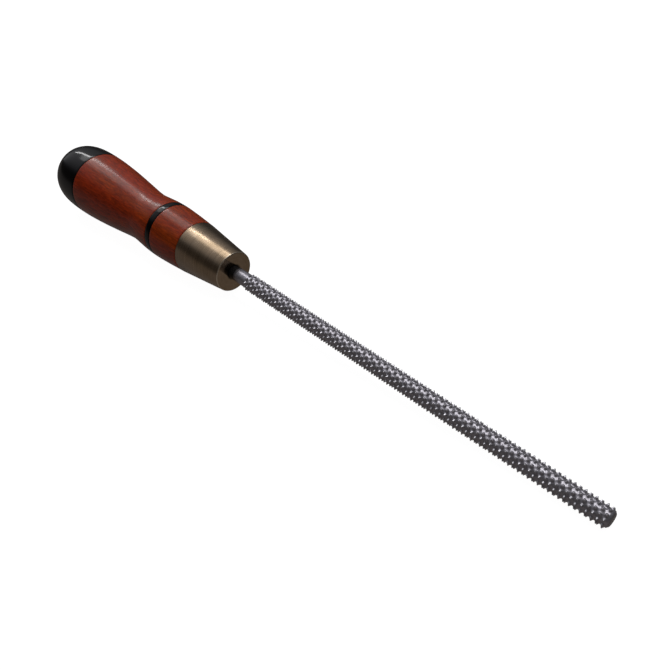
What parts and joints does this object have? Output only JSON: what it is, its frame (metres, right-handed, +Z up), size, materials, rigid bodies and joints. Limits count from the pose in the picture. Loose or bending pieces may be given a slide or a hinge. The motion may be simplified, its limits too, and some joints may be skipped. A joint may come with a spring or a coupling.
{
  "type": "round rasp",
  "caption": "Round rasp with raised pointed teeth, a conical brass ferrule and a waisted wooden handle with a black ring and domed black cap.",
  "frame": {"origin": "on the tool's own axis, halfway between the blade's tip and the end of the cap", "axes": "+X along the tool from the handle to the blade's tip, +Z up; the tool is round about X"},
  "size_m": [0.2576, 0.0264, 0.0264],
  "materials": {
    "steel": "dark hardened steel, satin",
    "brass": "fine turned, slightly dulled",
    "wood": "reddish brown hardwood, satin lacquer",
    "black": "black, smooth gloss",
    "plated_steel": "zinc plated"
  },
  "bodies": {
    "root": {"rasp_blade": "steel", "ferrule": "brass", "thrust_washer": "plated_steel", "front_grip": "wood", "accent_ring": "black", "rear_grip": "wood", "clamp_washer": "plated_steel", "spring_washer": "plated_steel", "clamp_nut": "plated_steel", "butt_cap": "black"}
  },
  "joints": []
}
